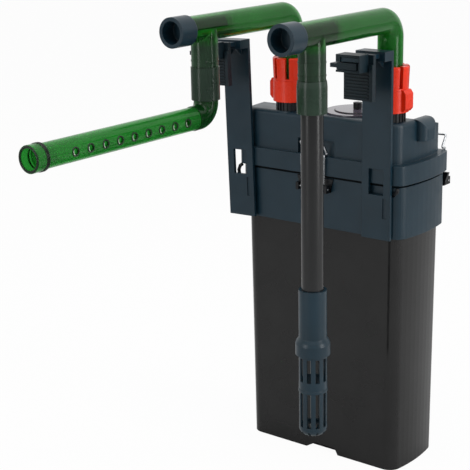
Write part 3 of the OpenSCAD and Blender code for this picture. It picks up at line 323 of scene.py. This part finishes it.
# A polished smoked disc: it mirrors the light above it.
SMOKED_DISC = Finish("purple_grey_polished_disc", "#57525f", "#625d69", Gloss.MIRROR, ior=1.6,
                     grain_depth_mm=0.001)
# Bisque-fired ceramic: chalky and pale.
BISQUE = Finish("bisque_fired_ceramic", "#dcd8cc", "#e6e2d6", Gloss.CHALK, grain_mm=0.8, grain_depth_mm=0.08)
# Reticulated polyurethane foam, cut from a block: an open, matt surface.
BLUE_FOAM = Finish("cut_polyurethane_foam", "#26405e", "#2d4a6b", Gloss.FOAM, grain_mm=1.5, grain_depth_mm=0.6)
# Cast epoxy over the windings: level and slightly glossy.
CAST_EPOXY = Finish("cast_black_epoxy", "#181a1c", "#1e2022", Gloss.CAST)
# Ferrite in a plastic skin: dark grey and even.
FERRITE = Finish("moulded_ferrite_magnet", "#4a4d50", "#55585b", Gloss.FERRITE)


def dress(node: str, finish: Finish) -> bpy.types.Object:
    """Gives a node of the frame its finish and smooth shading on its curved faces.

    Args:
        node: The node's name.
        finish: What it is made of.

    Returns:
        The dressed object.
    """
    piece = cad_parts[node]
    piece.data.materials.clear()
    piece.data.materials.append(finish.make())
    piece.data.shade_smooth()
    piece.data.set_sharp_from_angle(angle=math.radians(SHARP_DEGREES))
    return piece


def swept_tube(name: str, paths: list[list[Point]], radius: float, closed: bool = False,
               sides: int = 10) -> bpy.types.Object:
    """Makes one mesh of round tubes along paths.

    Args:
        name: The piece's name.
        paths: Points in millimetres, one list for each tube.
        radius: The tubes' radius in millimetres.
        closed: Whether each path joins its own start.
        sides: Sides round each tube.

    Returns:
        The new object, linked to the scene.
    """
    verts: list[Vector] = []
    faces: list[tuple[int, ...]] = []
    for path in paths:
        first, last = len(verts), len(path) - 1
        points = [Vector(p) * MM for p in path]
        for i, point in enumerate(points):
            after = points[(i + 1) % len(points)] if closed else points[min(i + 1, last)]
            before = points[i - 1] if closed else points[max(i - 1, 0)]
            way = (after - before).normalized()
            side = way.cross(Vector((0.31, 0.52, 0.79))).normalized()
            rise = way.cross(side)
            for k in range(sides):
                turn = math.tau * k / sides
                verts.append(point + radius * MM * (math.cos(turn) * side + math.sin(turn) * rise))
        for i in range(len(points) if closed else last):
            low, high = first + i * sides, first + (i + 1) % len(points) * sides
            faces += [(low + k, low + (k + 1) % sides, high + (k + 1) % sides, high + k)
                      for k in range(sides)]
        if not closed:
            faces += [tuple(range(first + sides - 1, first - 1, -1)),
                      tuple(range(first + last * sides, first + (last + 1) * sides))]
    mesh = bpy.data.meshes.new(name)
    mesh.from_pydata(verts, [], faces)
    mesh.shade_smooth()
    piece = bpy.data.objects.new(name, mesh)
    bpy.context.scene.collection.objects.link(piece)
    return piece


def circle(centre: Point, radius: float, steps: int, upright: bool = False) -> list[Point]:
    """Lists the points round a circle, in millimetres.

    Args:
        centre: The circle's centre.
        radius: Its radius.
        steps: Number of points.
        upright: Whether it faces along Y; otherwise it lies level.

    Returns:
        The points.
    """
    points = []
    for step in range(steps):
        turn = math.tau * step / steps
        across, along = radius * math.cos(turn), radius * math.sin(turn)
        points.append((centre[0] + across, centre[1], centre[2] + along) if upright
                      else (centre[0] + across, centre[1] + along, centre[2]))
    return points


@dataclass(frozen=True)
class SubAssembly:
    """A group of the filter's pieces that are made, dressed and detailed together."""

    def finishes(self) -> dict[str, Finish]:
        """The group's nodes, each with what it is made of."""
        return {}

    def dress(self) -> None:
        """Gives every node of the group its finish."""
        for node, finish in self.finishes().items():
            dress(node, finish)
            LOG.info("dressed %s in %s", node, finish.name)

    def build(self) -> None:
        """Adds the group's fine pieces; the plain group has none."""

    def add(self, piece: bpy.types.Object, finish: Finish, body: str) -> None:
        """Finishes a fine piece and ties it to the body that carries it.

        Args:
            piece: The new object.
            finish: What it is made of.
            body: The name of the body it rides on.
        """
        piece.data.materials.append(finish.make())
        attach(piece, body)
        LOG.info("added %s on %s", piece.name, body)


@dataclass(frozen=True)
class Canister(SubAssembly):
    """The smoked canister, its teal collar, the seal and the media inside."""

    def finishes(self) -> dict[str, Finish]:
        """The canister's nodes and materials."""
        baskets = {f"media_basket_{level}": BLACK_NYLON for level in ("lower", "middle", "upper")}
        return {"canister": SMOKED_SAN, "canister_collar": TEAL_ABS, "rim_seal": NITRILE, **baskets,
                "ceramic_media": BISQUE, "coarse_foam": BLUE_FOAM, "fine_foam": BLUE_FOAM}


@dataclass(frozen=True)
class PumpHead(SubAssembly):
    """The pump head with its nose cover, vent disc, nozzles and cable gland."""

    ring_inset: float = 7.7
    ring_drop: float = 0.7
    ring_wire: float = 0.45
    ring_steps: int = 64

    def finishes(self) -> dict[str, Finish]:
        """The head's nodes and materials."""
        return {"pump_head": TEAL_ABS, "nose_cover": TEAL_ABS, "vent_plate": SMOKED_DISC,
                "vent_knob": BLACK_NYLON, "cable_gland": BLACK_NYLON, "head_base": BLACK_NYLON,
                "head_screws": DRAWN_STEEL,
                "inlet_nozzle": BLACK_NYLON, "outlet_nozzle": BLACK_NYLON, "nozzle_seals": NITRILE}

    def build(self) -> None:
        """Lays a black bead in the vent disc's groove as the groove's painted shade."""
        low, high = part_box("vent_plate")
        centre = ((low[0] + high[0]) / 2 / MM, (low[1] + high[1]) / 2 / MM, high[2] / MM - self.ring_drop)
        radius = (high[0] - low[0]) / 2 / MM - self.ring_inset
        ring = circle(centre, radius, self.ring_steps)
        groove_shade = swept_tube("vent_groove_painted_shade", [ring], self.ring_wire, closed=True)
        self.add(groove_shade, BLACK_NYLON, "filter")


@dataclass(frozen=True)
class Pump(SubAssembly):
    """The motor and impeller inside the head."""

    def finishes(self) -> dict[str, Finish]:
        """The pump's nodes and materials."""
        return {"motor_block": CAST_EPOXY, "volute_housing": BLACK_NYLON, "volute_cover": BLACK_NYLON,
                "impeller": FERRITE, "impeller_shaft": BISQUE, "shaft_bushes": BLACK_NYLON,
                "intake_duct": BLACK_NYLON}


@dataclass(frozen=True)
class Latches(SubAssembly):
    """The wire latches: one in front and two at the back."""

    places: tuple[str, ...] = ("front", "back_left", "back_right")

    def finishes(self) -> dict[str, Finish]:
        """The latches' nodes and materials."""
        return {f"latch_base_{p}": BLACK_NYLON for p in self.places} | {
            f"latch_wire_{p}": DRAWN_STEEL for p in self.places}


@dataclass(frozen=True)
class LockCollars(SubAssembly):
    """The two orange collars that lock the pipes into the head."""

    def finishes(self) -> dict[str, Finish]:
        """The collars' nodes and materials."""
        return {"lock_collar_intake": ORANGE_ABS, "lock_collar_outlet": ORANGE_ABS}


@dataclass(frozen=True)
class Pipework(SubAssembly):
    """The two green pipes, their flow plugs and the dark sleeves on their legs."""

    def finishes(self) -> dict[str, Finish]:
        """The pipes' nodes and materials."""
        return {"outlet_pipe": GREEN_ACRYLIC, "intake_pipe": INTAKE_ACRYLIC, "flow_plug_outlet": TEAL_ABS,
                "flow_plug_intake": TEAL_ABS, "outlet_sleeve": OLIVE_ACRYLIC,
                "intake_sleeve": OLIVE_ACRYLIC}


@dataclass(frozen=True)
class SprayBar(SubAssembly):
    """The swinging elbow, the drilled spray bar and its end cap."""

    radius: float = 8.5
    first_hole: float = 159.3
    pitch: float = 14.0
    holes: int = 9
    rim_radius: float = 2.75
    rim_wire: float = 0.55
    # Wire and inset of the painted glint arcs at the holes' edges.
    glint_wire: float = 0.4
    glint_inset: float = 0.6
    cap_length: float = 10.0
    lip_sink: float = 0.1
    lip_inset: float = 1.1
    lip_wire: float = 0.8
    band_insets: tuple[float, ...] = (0.6, 1.6, 2.6)
    band_wire: float = 0.45

    def finishes(self) -> dict[str, Finish]:
        """The bar's nodes and materials."""
        return {"spray_elbow": DEEP_GREEN_ACRYLIC, "spray_bar": DARK_GREEN_ACRYLIC,
                "spray_end_cap": DARK_GREEN_ACRYLIC}

    def hole_arc(self, hole: int, radius: float, start: float, span: float, steps: int = 28) -> list[Point]:
        """Traces part of a circle round a spray hole on the bar's curved side.

        Args:
            hole: The hole's number from the elbow.
            radius: The circle's radius in millimetres.
            start: The first angle in degrees.
            span: How far the arc runs in degrees.
            steps: Number of points.

        Returns:
            The points, in millimetres.
        """
        low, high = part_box("spray_bar")
        x, z = (low[0] + high[0]) / 2 / MM, (low[2] + high[2]) / 2 / MM
        y = -self.first_hole - hole * self.pitch
        points = []
        for step in range(steps):
            turn = math.radians(start + span * step / steps)
            rise = radius * math.sin(turn)
            out = math.sqrt(self.radius ** 2 - rise ** 2)
            points.append((x + out, y + radius * math.cos(turn), z + rise))
        return points

    def build(self) -> None:
        """Paints shade as a dark ring round every spray hole, a highlight as a pale arc on one side of each
        hole, and shade as a dark ring and band on the end cap.
        """
        holes = range(self.holes)
        # Painted shade: a dark ring round each spray hole, where little light comes through the wall.
        rims = [self.hole_arc(hole, self.rim_radius, 0, 360) for hole in holes]
        self.add(swept_tube("spray_hole_shade_rims", rims, self.rim_wire, closed=True, sides=8), PAINTED_SHADE_ACRYLIC,
                 "spray_bar")
        # Painted highlights: a pale arc on one side of each hole's edge, where a glint of light falls.
        glints = [self.hole_arc(hole, self.rim_radius - self.glint_inset, 150, 110, 10) for hole in holes]
        self.add(swept_tube("spray_hole_painted_glints", glints, self.glint_wire, sides=8), GLINT_ACRYLIC, "spray_bar")
        low, high = (Vector(corner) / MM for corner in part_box("spray_end_cap"))
        x, z, radius = (low.x + high.x) / 2, (low.z + high.z) / 2, (high.x - low.x) / 2
        # Painted shade: a dark ring inside the cap's mouth and a dark band at its inner end.
        mouth = circle((x, low.y + self.lip_sink, z), radius - self.lip_inset, RING_STEPS, upright=True)
        self.add(swept_tube("end_cap_shade_ring", [mouth], self.lip_wire, closed=True), PAINTED_SHADE_ACRYLIC, "spray_end_cap")
        band = [circle((x, low.y + self.cap_length - inset, z), radius, RING_STEPS, upright=True)
                for inset in self.band_insets]
        self.add(swept_tube("end_cap_shade_band", band, self.band_wire, closed=True), PAINTED_SHADE_ACRYLIC, "spray_end_cap")


@dataclass(frozen=True)
class IntakeTube(SubAssembly):
    """The black telescoping tube, its coupling and the strainer basket."""

    def finishes(self) -> dict[str, Finish]:
        """The tube's nodes and materials."""
        return {"intake_tube": BLACK_PVC, "strainer_coupling": TEAL_ABS, "strainer_basket": TEAL_ABS}


@dataclass(frozen=True)
class Hangers(SubAssembly):
    """The two strips that hang the filter on a tank, with their jaws, levers and small hooks."""

    hook_wire: float = 1.5

    def finishes(self) -> dict[str, Finish]:
        """The hangers' nodes and materials."""
        parts = {"hanger": TEAL_ABS, "clamp_jaw": SHADED_RIBBED_ABS, "clamp_lever": SHADED_RIBBED_ABS}
        return {f"{part}_{side}": finish for part, finish in parts.items() for side in ("left", "right")}

    def build(self) -> None:
        """Bends the two black hooks that tie the strips to the collar."""
        left = [(-70.0, -34.6, 222.0), (-73.6, -35.6, 224.5), (-76.4, -35.9, 227.5), (-77.0, -35.9, 231.0),
                (-75.6, -35.9, 234.5), (-73.5, -35.9, 236.0)]
        right = [(69.0, -34.8, 229.0), (71.4, -35.8, 231.0), (73.2, -35.9, 233.0), (73.4, -35.9, 235.2)]
        self.add(swept_tube("hanger_hook_left", [left], self.hook_wire), BLACK_NYLON, "filter")
        self.add(swept_tube("hanger_hook_right", [right], self.hook_wire), BLACK_NYLON, "filter")


@dataclass(frozen=True)
class Lamp:
    """A soft rectangular lamp: where it hangs, what it faces, its size and its power in watts."""

    name: str
    at: Point
    to: Point
    size: tuple[float, float]
    power: float

    def hang(self) -> None:
        """Adds the lamp to the scene."""
        data = bpy.data.lights.new(self.name, "AREA")
        data.shape, data.size, data.size_y, data.energy = "RECTANGLE", *self.size, self.power
        lamp = bpy.data.objects.new(self.name, data)
        bpy.context.scene.collection.objects.link(lamp)
        lamp.location = self.at
        lamp.rotation_mode = "QUATERNION"
        lamp.rotation_quaternion = (Vector(self.at) - Vector(self.to)).to_track_quat("Z", "Y")


@dataclass(frozen=True)
class Studio:
    """The pale room: a floor, a soft overhead light and two tall soft boxes."""

    floor_half: float = 4.0
    floor_glow: float = 0.96
    ambient: float = 0.35
    lamps: tuple[Lamp, ...] = (
        Lamp("overhead", (0.1, -0.1, 1.4), (0.0, -0.05, 0.2), (1.2, 1.2), 9.0),
        Lamp("right_box", (1.5, 0.1, 0.55), (0.05, -0.05, 0.2), (0.5, 1.3), 12.0),
        Lamp("front_box", (-0.45, -1.8, 0.5), (0.0, -0.1, 0.22), (0.5, 1.2), 7.5))

    def build(self) -> None:
        """Makes the floor, the world and the lamps."""
        self.floor()
        self.world()
        for lamp in self.lamps:
            lamp.hang()

    def floor(self) -> None:
        """Lays a pale floor that keeps the object's soft shadow."""
        mesh = bpy.data.meshes.new("floor")
        s = self.floor_half
        mesh.from_pydata([(-s, -s, 0), (s, -s, 0), (s, s, 0), (-s, s, 0)], [], [(0, 1, 2, 3)])
        floor = bpy.data.objects.new("floor", mesh)
        bpy.context.scene.collection.objects.link(floor)
        material = bpy.data.materials.new("pale_painted_floor")
        material.use_nodes = True
        tree = material.node_tree
        shader = tree.nodes["Principled BSDF"]
        shader.inputs["Base Color"].default_value = linear_colour("#f4f4f4")
        shader.inputs["Roughness"].default_value = 0.9
        rays = add_node(tree, "ShaderNodeLightPath")
        glow = add_node(tree, "ShaderNodeEmission", {"Color": linear_colour("#ffffff"), "Strength": 1.0})
        seen = add_node(tree, "ShaderNodeMath", {"operation": "MAXIMUM"},
                        {0: rays.outputs["Is Camera Ray"], 1: rays.outputs["Is Transmission Ray"]})
        share = add_node(tree, "ShaderNodeMath", {"operation": "MULTIPLY", 1: self.floor_glow},
                         {0: seen.outputs["Value"]})
        mix = add_node(tree, "ShaderNodeMixShader", links={
            0: share.outputs["Value"], 1: shader.outputs["BSDF"], 2: glow.outputs["Emission"]})
        tree.links.new(mix.outputs["Shader"], tree.nodes["Material Output"].inputs["Surface"])
        mesh.materials.append(material)

    def world(self) -> None:
        """Fills the room with even light, and shows it white to the lens and in gloss and clear plastic."""
        world = bpy.data.worlds.new("white_room")
        world.use_nodes = True
        bpy.context.scene.world = world
        tree = world.node_tree
        back = tree.nodes["Background"]
        back.inputs["Color"].default_value = linear_colour("#ffffff")
        rays = add_node(tree, "ShaderNodeLightPath")
        seen = add_node(tree, "ShaderNodeMath", {"operation": "MAXIMUM"},
                        {0: rays.outputs["Is Camera Ray"], 1: rays.outputs["Is Glossy Ray"]})
        seen = add_node(tree, "ShaderNodeMath", {"operation": "MAXIMUM"},
                        {0: seen.outputs["Value"], 1: rays.outputs["Is Transmission Ray"]})
        level = add_node(tree, "ShaderNodeMath", {"operation": "MAXIMUM", 1: self.ambient},
                         {0: seen.outputs["Value"]})
        tree.links.new(level.outputs["Value"], back.inputs["Strength"])


@dataclass(frozen=True)
class Lens:
    """The camera: where it stands, where it looks and how long its lens is."""

    place: Point = (0.5544, -0.8404, 0.4681)
    azimuth: float = 38.37
    pitch: float = 15.98
    roll: float = -1.18
    length_mm: float = 98.1

    def build(self) -> None:
        """Places the camera."""
        a, p, r = math.radians(self.azimuth), math.radians(self.pitch), math.radians(self.roll)
        forward = Vector((-math.sin(a) * math.cos(p), math.cos(a) * math.cos(p), -math.sin(p)))
        right = Vector((math.cos(a), math.sin(a), 0))
        up = right.cross(forward)
        tilted = math.cos(r) * right + math.sin(r) * up
        risen = -math.sin(r) * right + math.cos(r) * up
        data = bpy.data.cameras.new("camera")
        data.sensor_width, data.lens = 36.0, self.length_mm
        data.clip_start, data.clip_end = 0.05, 50.0
        camera = bpy.data.objects.new("camera", data)
        turn = Matrix((tilted, risen, -forward)).transposed()
        camera.matrix_world = Matrix.Translation(self.place) @ turn.to_4x4()
        bpy.context.scene.collection.objects.link(camera)
        bpy.context.scene.camera = camera


def main() -> None:
    """Builds the room, and dresses and details each sub-assembly."""
    logging.basicConfig(level=logging.INFO, format="%(message)s")
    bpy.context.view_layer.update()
    bpy.context.scene.view_settings.view_transform = "Standard"
    Lens().build()
    Studio().build()
    for group in (Canister(), PumpHead(), Pump(), Latches(), LockCollars(), Pipework(), SprayBar(), IntakeTube(),
                  Hangers()):
        group.dress()
        group.build()


if __name__ == "__main__":
    main()
